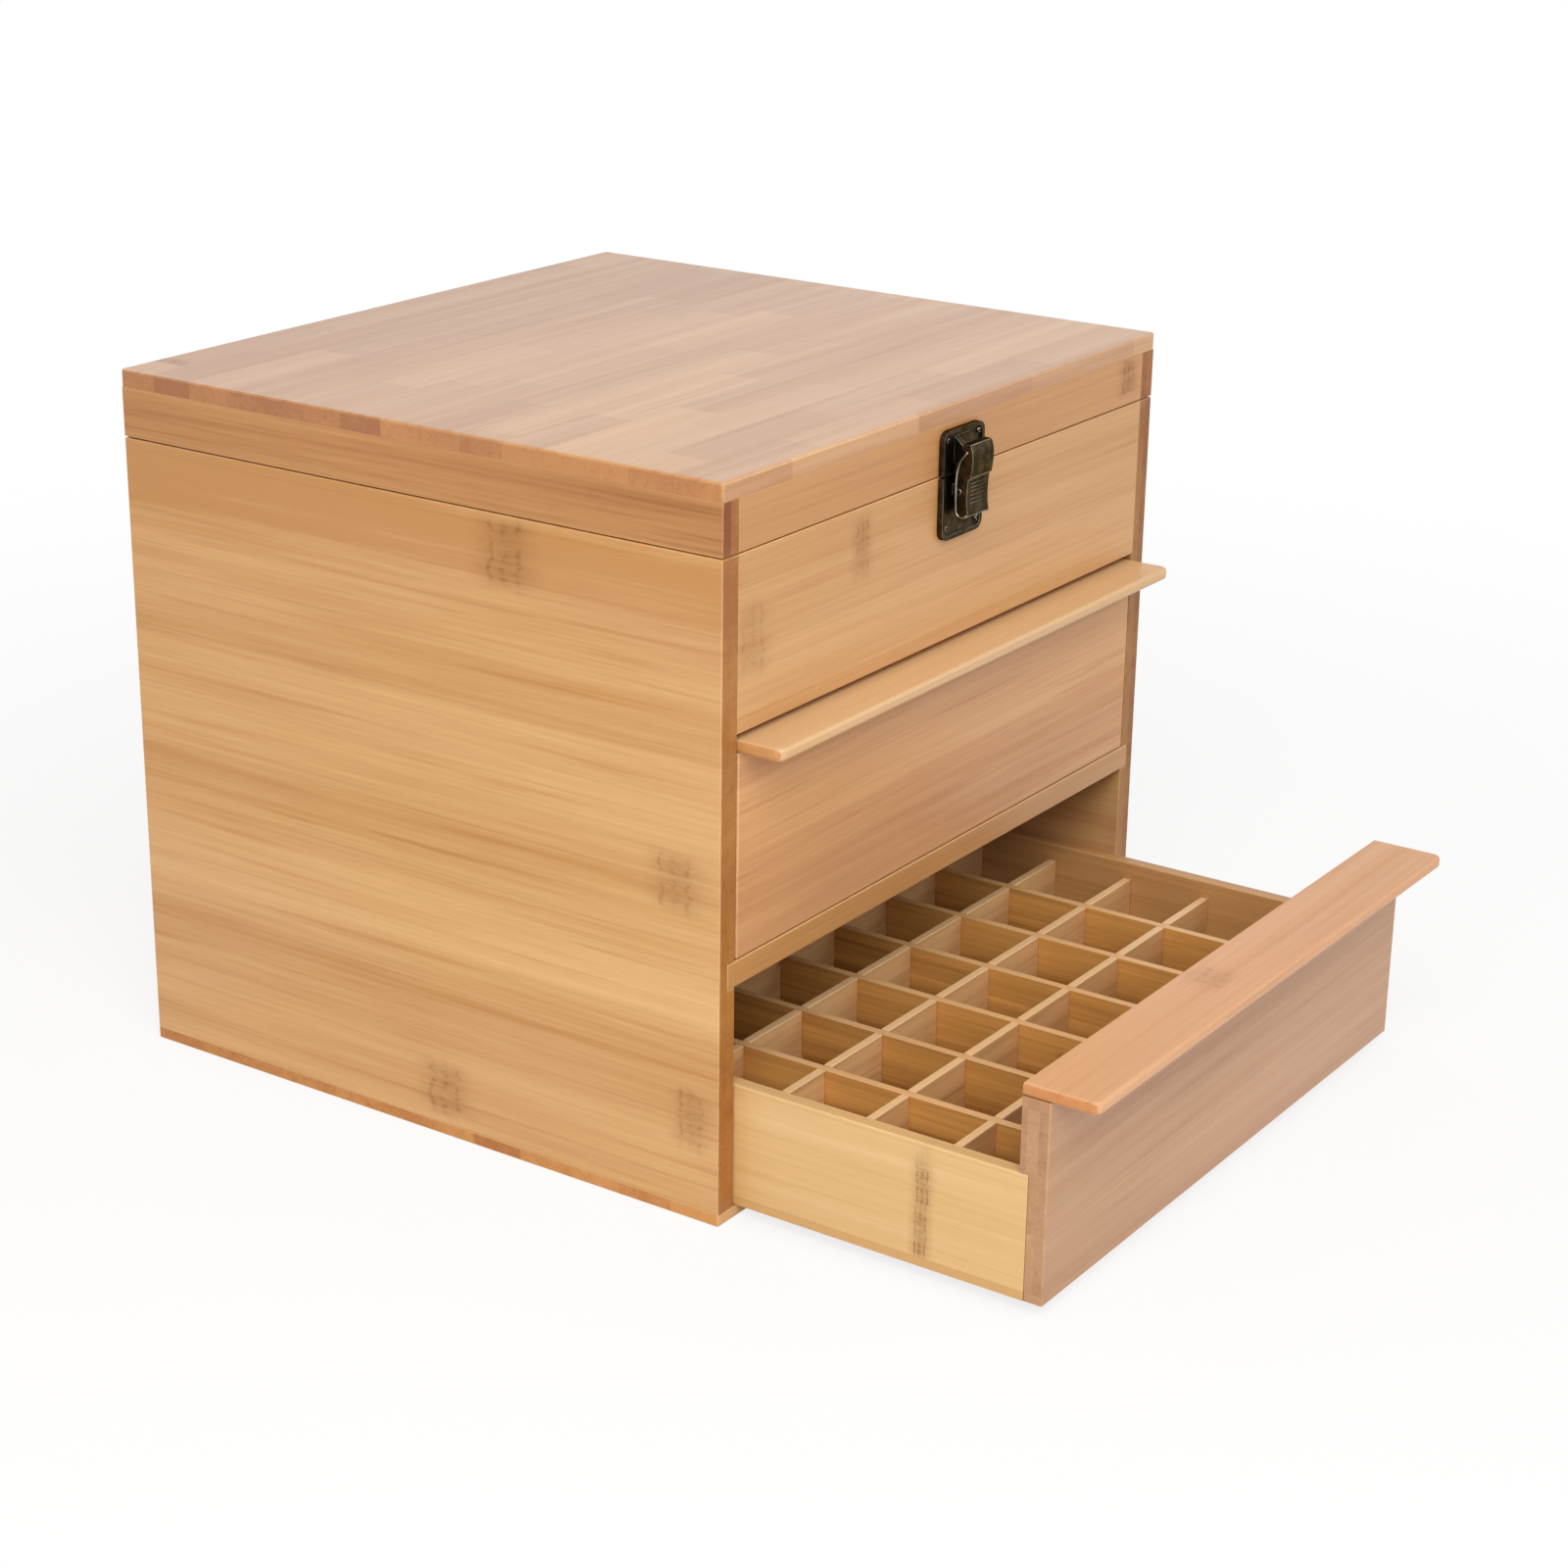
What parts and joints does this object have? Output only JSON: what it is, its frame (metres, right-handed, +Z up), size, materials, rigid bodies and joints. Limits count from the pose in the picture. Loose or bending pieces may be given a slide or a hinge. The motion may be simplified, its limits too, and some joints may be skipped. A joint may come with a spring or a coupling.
{
  "type": "essential oil storage box",
  "caption": "Square bamboo storage box for small oil bottles, with a hinged lid over a divided tray, sliding drawers with divided cells and finger lips, and a bronze press latch.",
  "frame": {"origin": "middle of the underside of the bottom board, which the box stands on", "axes": "+Z up, the drawer fronts and the latch face -Y and the hinges are on +Y, +X is to the right seen from the front"},
  "size_m": [0.26, 0.3724, 0.239],
  "materials": {
    "bamboo_case": "satin lacquered bamboo board",
    "bamboo_top": "satin lacquered bamboo board",
    "bamboo_front": "satin lacquered bamboo board",
    "bamboo_drawer": "plain sanded bamboo",
    "bamboo_strip": "plain sanded bamboo",
    "antique_bronze": "darkened bronze plating, worn bright at the edges",
    "spring_steel": "bright drawn steel"
  },
  "bodies": {
    "carcass": {"bottom_board": "bamboo_case", "left_side_panel": "bamboo_case", "right_side_panel": "bamboo_case", "back_panel": "bamboo_case", "drawer_shelf": "bamboo_case", "tray_floor": "bamboo_case", "upper_front_panel": "bamboo_case", "tray_row_strips": "bamboo_strip", "tray_column_strips": "bamboo_strip", "latch_base_plate": "antique_bronze", "latch_base_screws": "antique_bronze", "latch_pin": "antique_bronze", "latch_spring": "spring_steel", "left_hinge_body_leaf": "antique_bronze", "left_hinge_pin": "spring_steel", "right_hinge_body_leaf": "antique_bronze", "right_hinge_pin": "spring_steel", "hinge_body_screws": "antique_bronze"},
    "lid": {"lid_top_board": "bamboo_top", "lid_left_rail": "bamboo_case", "lid_right_rail": "bamboo_case", "lid_front_rail": "bamboo_case", "lid_back_rail": "bamboo_case", "latch_keeper_plate": "antique_bronze", "latch_keeper_screws": "antique_bronze", "left_hinge_lid_leaf": "antique_bronze", "right_hinge_lid_leaf": "antique_bronze", "hinge_lid_screws": "antique_bronze"},
    "upper_drawer": {"upper_drawer_front": "bamboo_front", "upper_drawer_lip": "bamboo_front", "upper_drawer_left_side": "bamboo_drawer", "upper_drawer_right_side": "bamboo_drawer", "upper_drawer_back": "bamboo_drawer", "upper_drawer_bottom": "bamboo_drawer", "upper_drawer_row_strips": "bamboo_strip", "upper_drawer_column_strips": "bamboo_strip"},
    "lower_drawer": {"lower_drawer_front": "bamboo_front", "lower_drawer_lip": "bamboo_front", "lower_drawer_left_side": "bamboo_drawer", "lower_drawer_right_side": "bamboo_drawer", "lower_drawer_back": "bamboo_drawer", "lower_drawer_bottom": "bamboo_drawer", "lower_drawer_row_strip_1": "bamboo_strip", "lower_drawer_row_strip_2": "bamboo_strip", "lower_drawer_row_strip_3": "bamboo_strip", "lower_drawer_row_strip_4": "bamboo_strip", "lower_drawer_row_strip_5": "bamboo_strip", "lower_drawer_row_strip_6": "bamboo_strip", "lower_drawer_column_strip_1": "bamboo_strip", "lower_drawer_column_strip_2": "bamboo_strip", "lower_drawer_column_strip_3": "bamboo_strip", "lower_drawer_column_strip_4": "bamboo_strip", "lower_drawer_column_strip_5": "bamboo_strip", "lower_drawer_column_strip_6": "bamboo_strip"},
    "latch_lever": {"latch_lever": "antique_bronze"}
  },
  "joints": [
    {"name": "lid_hinge", "type": "hinge", "parent": "carcass", "child": "lid", "pos_m": [0, 0.1231, 0.2162], "axis": [-1, 0, 0], "range_deg": [0, 105]},
    {"name": "upper_drawer_slide", "type": "slide", "parent": "carcass", "child": "upper_drawer", "axis": [0, -1, 0], "range_m": [0, 0.16]},
    {"name": "lower_drawer_slide", "type": "slide", "parent": "carcass", "child": "lower_drawer", "axis": [0, -1, 0], "range_m": [-0.111, 0.05]},
    {"name": "latch_press", "type": "hinge", "parent": "carcass", "child": "latch_lever", "pos_m": [0, -0.1247, 0.211], "axis": [1, 0, 0], "range_deg": [0, 12], "stiffness_Nm_per_rad": 0.02, "deforming": ["latch_spring"]}
  ]
}
